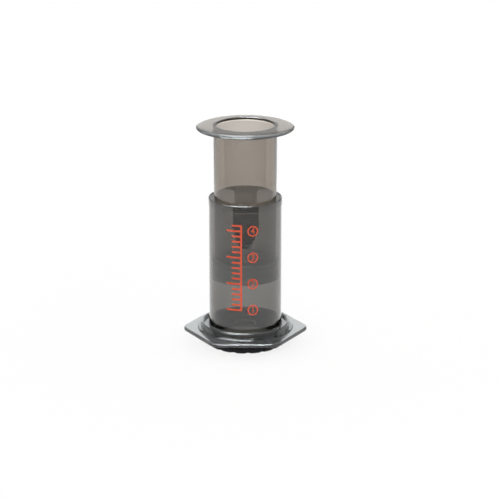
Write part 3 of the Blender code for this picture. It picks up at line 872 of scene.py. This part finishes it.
def arc_block(shape, inner, outer, bottom, top, middle, sweep):
    """Curved block about the axis, such as a bayonet tab."""
    steps = max(1, round(sweep / 2.5))
    angles = [math.radians(middle + sweep * (step / steps - 0.5)) for step in range(steps + 1)]
    rim = [(angle, outer) for angle in angles] + [(angle, inner) for angle in angles[::-1]]
    loops = [[shape.verts.new((reach * math.cos(angle), reach * math.sin(angle), height))
              for angle, reach in rim] for height in (bottom, top)]
    for place, corner in enumerate(loops[0]):
        after = (place + 1) % len(rim)
        shape.faces.new((corner, loops[0][after], loops[1][after], loops[1][place]))
    for loop in loops:
        for place in range(steps):
            shape.faces.new((loop[place], loop[place + 1], loop[-2 - place], loop[-1 - place]))


print("tabs reach", round((LUG - TAB_INNER) / MM, 2), "mm over the lugs")

# %% Add the bayonet to the ring and the plate
whole = bmesh.new()
whole.from_mesh(ring.data)
whole.from_mesh(plate.data)
for quarter in range(4):
    middle = 90 * quarter
    arc_block(whole, TAB_INNER, TAB_OUTER, TAB_BOTTOM, TAB_TOP, middle, TAB_SWEEP)
    arc_block(whole, STOP_INNER, TAB_OUTER, LUG_BOTTOM, STOP_TOP, middle + STOP_OFF,
              STOP_SWEEP)
whole.to_mesh(ring.data)
whole.free()
bpy.data.objects.remove(plate, do_unlink=True)
face_outwards(ring, sharp=38)
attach(ring, "filter_cap")
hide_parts("filter_cap")

# %% [markdown]
# ## The printed scale
#
# The front of the tube is pad printed in coral ink: four numbers in rings, which say how full
# the tube is, and a ladder of lines beside them. The ink is a film a few hundredths of a
# millimetre thick. One tree draws a number in its ring from the built-in font, another draws
# the ladder, and a third bends their flat drawing round the tube, which narrows upwards.

# %% Coral ink
coral_ink, tree, place = new_material("pad_print_ink_coral")
# Thin spots of the print, about 0.6 mm across
thin, tint = clouded(tree, place, size=0.6, detail=3.0, dark="ee4c1c", light="f65e30")
rough = add_node(tree, "ShaderNodeMapRange", {"Value": thin, "To Min": 0.35, "To Max": 0.55})
shader = add_node(tree, "ShaderNodeBsdfPrincipled", {"Base Color": tint, "Roughness": rough})
add_node(tree, "ShaderNodeOutputMaterial", {"Surface": shader})
print(coral_ink.name, "has", len(tree.nodes), "nodes")

# %% The tree that bends a flat drawing round the tube
tree, given = new_tree("wrapped_print", Geometry="Geometry", turn="Float", height="Float",
                       foot_radius="Float", taper="Float", finish="Material")
fine = add_node(tree, "GeometryNodeSubdivideMesh", {"Mesh": given["Geometry"], "Level": 2})
place = add_node(tree, "GeometryNodeInputPosition")
spot = add_node(tree, "ShaderNodeSeparateXYZ", {"Vector": place})
level = add_node(tree, "ShaderNodeMath", {0: spot.outputs["Y"], 1: given["height"]},
                 operation="ADD")
radius = add_node(tree, "ShaderNodeMath",
                  {0: level, 1: given["taper"], 2: given["foot_radius"]},
                  operation="MULTIPLY_ADD")
swing = add_node(tree, "ShaderNodeMath", {0: spot.outputs["X"], 1: given["foot_radius"]},
                 operation="DIVIDE")
angle = add_node(tree, "ShaderNodeMath", {0: swing, 1: given["turn"]}, operation="ADD")
front = add_node(tree, "ShaderNodeMath", {0: radius, 1: -1.0}, operation="MULTIPLY")
flat = add_node(tree, "ShaderNodeCombineXYZ", {"Y": front, "Z": level})
bent = add_node(tree, "ShaderNodeVectorRotate", {"Vector": flat, "Angle": angle},
                rotation_type="Z_AXIS")
wound = add_node(tree, "GeometryNodeSetPosition", {"Geometry": fine, "Position": bent})
wrapped = close_tree(tree, wound, given["finish"])

# %% The tree that draws a number in its ring
tree, given = new_tree("number_in_ring", number="Int", size="Float", ring="Float",
                       stroke="Float", finish="Material")
words = add_node(tree, "FunctionNodeValueToString", {"Value": given["number"]},
                 data_type="INT")
glyph = add_node(tree, "GeometryNodeStringToCurves",
                 {"String": words, "Size": given["size"]}, align_x="CENTER",
                 align_y="MIDDLE")
glyph_real = add_node(tree, "GeometryNodeRealizeInstances", {"Geometry": glyph})
outer = add_node(tree, "GeometryNodeCurvePrimitiveCircle",
                 {"Resolution": 64, "Radius": given["ring"]})
inner_radius = add_node(tree, "ShaderNodeMath", {0: given["ring"], 1: given["stroke"]},
                        operation="SUBTRACT")
inner = add_node(tree, "GeometryNodeCurvePrimitiveCircle",
                 {"Resolution": 64, "Radius": inner_radius})
lines = add_node(tree, "GeometryNodeJoinGeometry", {"Geometry": glyph_real})
for circle in (outer, inner):
    tree.links.new(live(circle.outputs), lines.inputs[0])
filled = add_node(tree, "GeometryNodeFillCurve", {"Curve": lines})
numbered = close_tree(tree, filled, given["finish"])

# %% The tree that draws a ladder of lines
tree, given = new_tree("ladder_of_lines", count="Int", pitch="Float", long="Float",
                       short="Float", every="Int", stroke="Float", finish="Material")
up = add_node(tree, "ShaderNodeCombineXYZ", {"Y": given["pitch"]})
rungs = add_node(tree, "GeometryNodeMeshLine", {"Count": given["count"], "Offset": up})
# One rung in every few is long
index = add_node(tree, "GeometryNodeInputIndex")
turn_of = add_node(tree, "FunctionNodeIntegerMath", {0: index, 1: given["every"]},
                   operation="MODULO")
is_long = add_node(tree, "FunctionNodeCompare", {0: turn_of, 1: 0.5}, data_type="FLOAT",
                   operation="LESS_THAN")
length = add_node(tree, "GeometryNodeSwitch",
                  {"Switch": is_long, "False": given["short"], "True": given["long"]},
                  input_type="FLOAT")
size = add_node(tree, "ShaderNodeCombineXYZ", {"X": length, "Y": given["stroke"], "Z": 1.0})
rung = add_node(tree, "GeometryNodeMeshGrid",
                {"Size X": 1.0, "Size Y": 1.0, "Vertices X": 5, "Vertices Y": 2})
middle = add_node(tree, "ShaderNodeMath", {0: length, 1: -0.5}, operation="MULTIPLY")
aside = add_node(tree, "ShaderNodeCombineXYZ", {"X": middle})
placed = add_node(tree, "GeometryNodeInstanceOnPoints",
                  {"Points": rungs, "Instance": rung.outputs["Mesh"], "Scale": size})
shifted = add_node(tree, "GeometryNodeTranslateInstances",
                   {"Instances": placed, "Translation": aside, "Local Space": False})
print("the rungs take", len(tree.nodes), "nodes")

# %% Join the rungs' right ends with a spine
steps = add_node(tree, "FunctionNodeIntegerMath", {0: given["count"], 1: 1},
                 operation="SUBTRACT")
run = add_node(tree, "ShaderNodeMath", {0: steps, 1: given["pitch"]}, operation="MULTIPLY")
height = add_node(tree, "ShaderNodeMath", {0: run, 1: given["stroke"]}, operation="ADD")
spine = add_node(tree, "GeometryNodeMeshGrid",
                 {"Size X": given["stroke"], "Size Y": height, "Vertices X": 2,
                  "Vertices Y": 33})
centre = add_node(tree, "ShaderNodeMath", {0: run, 1: 0.5}, operation="MULTIPLY")
beside = add_node(tree, "ShaderNodeMath", {0: given["stroke"], 1: 0.5}, operation="MULTIPLY")
seat = add_node(tree, "ShaderNodeCombineXYZ", {"X": beside, "Y": centre})
stood = add_node(tree, "GeometryNodeTransform",
                 {"Geometry": spine.outputs["Mesh"], "Translation": seat})
joined = add_node(tree, "GeometryNodeJoinGeometry", {"Geometry": shifted})
tree.links.new(live(stood.outputs), joined.inputs[0])
ladder = close_tree(tree, joined, given["finish"])

# %% Print the numbers and the ladder
TAPER = (TUBE_NECK - TUBE_FOOT) / (RIM_BAND - TROUGH)
INK_GAP = 0.02 * MM         # from the tube to the flat drawing
INK_FOOT = TUBE_FOOT - TAPER * TROUGH + INK_GAP         # radius of the print at height 0
FIRST_MARK = 39.4 * MM      # height of the number 1
MARK_PITCH = 23.77 * MM     # from one number to the next
NUMBERS_TURN = math.radians(11.8)           # to the right of the front
LADDER_TURN = math.radians(-7.9)
RUNGS_PER_MARK = 5

around_tube = {"foot_radius": INK_FOOT, "taper": TAPER, "finish": coral_ink}
prints = []
for number in (1, 2, 3, 4):
    name = f"mark_{number}"
    mark = bake(name, numbered, number=number, size=7.8 * MM, ring=4.75 * MM,
                stroke=1.1 * MM, finish=coral_ink)
    prints.append(bake(name, wrapped, mark, turn=NUMBERS_TURN,
                       height=FIRST_MARK + MARK_PITCH * (number - 1), **around_tube))
lines = bake("scale_lines", ladder, count=17, pitch=MARK_PITCH / RUNGS_PER_MARK,
             long=12.5 * MM, short=7.5 * MM, every=RUNGS_PER_MARK, stroke=1.6 * MM,
             finish=coral_ink)
prints.append(bake("scale_lines", wrapped, lines, turn=LADDER_TURN, height=FIRST_MARK,
                   **around_tube))

# %% Join the marks and give the ink its thickness
INK_FILM = 0.05 * MM

whole = bmesh.new()
for item in prints:
    whole.from_mesh(item.data)
    bpy.data.objects.remove(item, do_unlink=True)
mesh = bpy.data.meshes.new("printed_scale")
whole.to_mesh(mesh)
whole.free()
mesh.materials.append(coral_ink)
marks = new_object("printed_scale", mesh)
film = marks.modifiers.new("film", "SOLIDIFY")
film.thickness = INK_FILM
film.offset = 1
settle(marks)
print("print:", len(marks.data.polygons), "faces")
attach(marks, "chamber")

# %% [markdown]
# ## Floor and light
#
# The photograph has a plain white ground that runs up behind the press. A white floor lit by
# an even white sky renders just so. A share of the floor is lit by itself for the rays that
# the camera, the gloss and the clear plastic see, so its white stays even and the press keeps
# a soft shadow.

# %% White floor material
OWN_LIGHT = 0.8             # share of the floor's white that is its own light
FADE_START = 0.8            # metres from the press
FADE_END = 1.1
FADED = 0.35                # what gloss sees of that light past the fade

white_floor, tree, place = new_material("matte_white_floor")
rays = add_node(tree, "ShaderNodeLightPath").outputs
clear = add_node(tree, "ShaderNodeMath",
                 {0: rays["Is Camera Ray"], 1: rays["Is Transmission Ray"]},
                 operation="MAXIMUM")
# Gloss sees the ground fade a metre away, which draws a grey line along the brim's far edge
reach = add_node(tree, "ShaderNodeVectorMath", {0: place}, operation="LENGTH")
fade = add_node(tree, "ShaderNodeMapRange",
                {"Value": reach.outputs["Value"], "From Min": FADE_START,
                 "From Max": FADE_END, "To Min": 1.0, "To Max": FADED})
gloss = add_node(tree, "ShaderNodeMath", {0: rays["Is Glossy Ray"], 1: fade},
                 operation="MULTIPLY")
seen = add_node(tree, "ShaderNodeMath", {0: clear, 1: gloss}, operation="MAXIMUM")
strength = add_node(tree, "ShaderNodeMath", {0: seen, 1: OWN_LIGHT}, operation="MULTIPLY")
glow = add_node(tree, "ShaderNodeEmission", {"Color": linear("ffffff"), "Strength": strength})
grey = 1 - OWN_LIGHT
paint = add_node(tree, "ShaderNodeBsdfDiffuse", {"Color": (grey, grey, grey, 1.0)})
both = add_node(tree, "ShaderNodeAddShader", {0: glow, 1: paint})
add_node(tree, "ShaderNodeOutputMaterial", {"Surface": both})
print(white_floor.name, "has", len(tree.nodes), "nodes")


# %% Lay the floor
def flat_face(name, points, finish):
    """An object with one flat face."""
    mesh = bpy.data.meshes.new(name)
    mesh.from_pydata(points, [], [tuple(range(len(points)))])
    mesh.materials.append(finish)
    print(name, "has", len(points), "corners")
    return new_object(name, mesh)


FLOOR_HALF = 3              # metres from the press to the floor's sides
FLOOR_TOP = -0.2 * MM       # a hair under the press's foot
floor = flat_face("floor", [(side * FLOOR_HALF, end * FLOOR_HALF, FLOOR_TOP)
                            for side, end in ((-1, -1), (1, -1), (1, 1), (-1, 1))],
                  white_floor)

# %% Sky
LOW_SKY = 0.2               # sine of the height above which gloss sees the backdrop dim
HIGH_SKY = 0.45             # the same for where it is dimmest
BACKDROP_GLOW = 0.8
OVERHEAD_GLOW = 0.4

world = bpy.data.worlds.new("white_studio")
tree = clean_tree(world)
# Gloss sees the backdrop white near the ground and dim overhead, where the studio is dark
rays = add_node(tree, "ShaderNodeLightPath").outputs
aim = add_node(tree, "ShaderNodeTexCoord").outputs["Generated"]
parts = add_node(tree, "ShaderNodeSeparateXYZ", {"Vector": aim})
seen_sky = add_node(tree, "ShaderNodeMapRange",
                    {"Value": parts.outputs["Z"], "From Min": LOW_SKY,
                     "From Max": HIGH_SKY, "To Min": BACKDROP_GLOW,
                     "To Max": OVERHEAD_GLOW}, interpolation_type="SMOOTHSTEP")
strength = add_node(tree, "ShaderNodeMix",
                    {"Factor": rays["Is Glossy Ray"], "A": 1.0, "B": seen_sky},
                    data_type="FLOAT")
sky = add_node(tree, "ShaderNodeBackground", {"Color": linear("ffffff"), "Strength": strength})
add_node(tree, "ShaderNodeOutputWorld", {"Surface": sky})
bpy.context.scene.world = world
bpy.context.scene.view_settings.view_transform = "Standard"
print("sky strength 1, view transform", bpy.context.scene.view_settings.view_transform)

# %% [markdown]
# ## Reflections
#
# A clear, shiny thing shows its studio. The photograph's press stood on a bright sheet that
# ended half a metre in front of it, where the dark studio began, with a wide softbox overhead
# and a lit backdrop behind. The sheet gives the tubes their pale glare, and the softbox draws
# white lines along rounded edges. The cards and lamps below are seen by reflections alone, so
# they don't change the light that falls on the press.

# %% Bright sheet
SHEET_EDGE = 0.52           # metres from the press
SHEET_FRONT = -0.1          # metres along Y, up to which it is brightest
SHEET_BACK = 0.3            # and from which it is dimmest
SHEET_BRIGHT = 1.65
SHEET_DIM = 1.15


def card(name, finish, outline, height):
    """Flat card on the ground, from (degrees round from the front, distance) corners."""
    points = []
    for turn_off, reach in outline:
        aim = math.radians(turn_off)
        points.append((reach * math.sin(aim), -reach * math.cos(aim), height))
    item = flat_face(name, points, finish)
    item.visible_camera = False
    item.visible_diffuse = False
    item.visible_transmission = False
    item.visible_shadow = False


bright_sheet, tree, place = new_material("bright_white_sheet")
spot = add_node(tree, "ShaderNodeSeparateXYZ", {"Vector": place})
# Painted light: the glow is brightest in front of the press, under the softbox, as a painted
# pool of its light
fade = add_node(tree, "ShaderNodeMapRange",
                {"Value": spot.outputs["Y"], "From Min": SHEET_FRONT,
                 "From Max": SHEET_BACK, "To Min": SHEET_BRIGHT, "To Max": SHEET_DIM})
glow = add_node(tree, "ShaderNodeEmission", {"Color": linear("ffffff"), "Strength": fade})
add_node(tree, "ShaderNodeOutputMaterial", {"Surface": glow})
card("sheet", bright_sheet, [(step * 10, SHEET_EDGE) for step in range(36)],
     height=0.5 * MM)

# %% Dark studio in front
STUDIO_SIDE = 80            # degrees from the front to the dark studio's sides
STUDIO_END = 1.7            # metres
PATCH = [(-38, 0.54), (-38, 0.41), (-27, 0.36), (0, 0.34), (25, 0.36), (41, 0.41), (41, 0.54),
         (20, 0.54), (0, 0.54), (-20, 0.54)]

dark_card = bpy.data.materials.new("blue_grey_card")
tree = clean_tree(dark_card)
shader = add_node(tree, "ShaderNodeBsdfPrincipled",
                  {"Base Color": linear("596f86"), "Roughness": 1.0})
add_node(tree, "ShaderNodeOutputMaterial", {"Surface": shader})
near_edge = [(turn_off, SHEET_EDGE) for turn_off in range(-STUDIO_SIDE, STUDIO_SIDE + 1, 10)]
far_edge = [(turn_off, STUDIO_END) for turn_off in (STUDIO_SIDE, 0, -STUDIO_SIDE)]
card("dark_studio", dark_card, near_edge + far_edge, height=1 * MM)
# A patch of it reaches in over the sheet's edge
card("dark_patch", dark_card, PATCH, height=1.5 * MM)


# %% Lamps that reflections show
def panel(name, place, width, height, brightness, tilt=0):
    """Area lamp for reflections; its power is its brightness times pi times its area."""
    data = bpy.data.lights.new(name, "AREA")
    data.shape = "RECTANGLE"
    data.size = width
    data.size_y = height
    data.energy = brightness * math.pi * width * height
    data.color = linear("f4fcff")[:3]
    item = new_object(name, data)
    item.location = place
    item.rotation_euler = (math.radians(tilt), 0, 0)
    item.visible_camera = False
    item.visible_diffuse = False
    print(name, round(data.energy, 1), "W")


# The ceiling and the softbox hang over the press, and the other two stand behind it
panel("ceiling", (0, -0.65, 1.75), width=8.0, height=6.7, brightness=1.4)
panel("softbox", (-0.4, -0.9, 1.35), width=1.3, height=2.2, brightness=18.0)
panel("strip_light", (-0.05, 1.0, 1.19), width=0.17, height=0.78, brightness=2.8, tilt=-90)
panel("low_reflector", (0, 0.5, 0.161), width=1.3, height=0.1, brightness=1.5, tilt=-90)
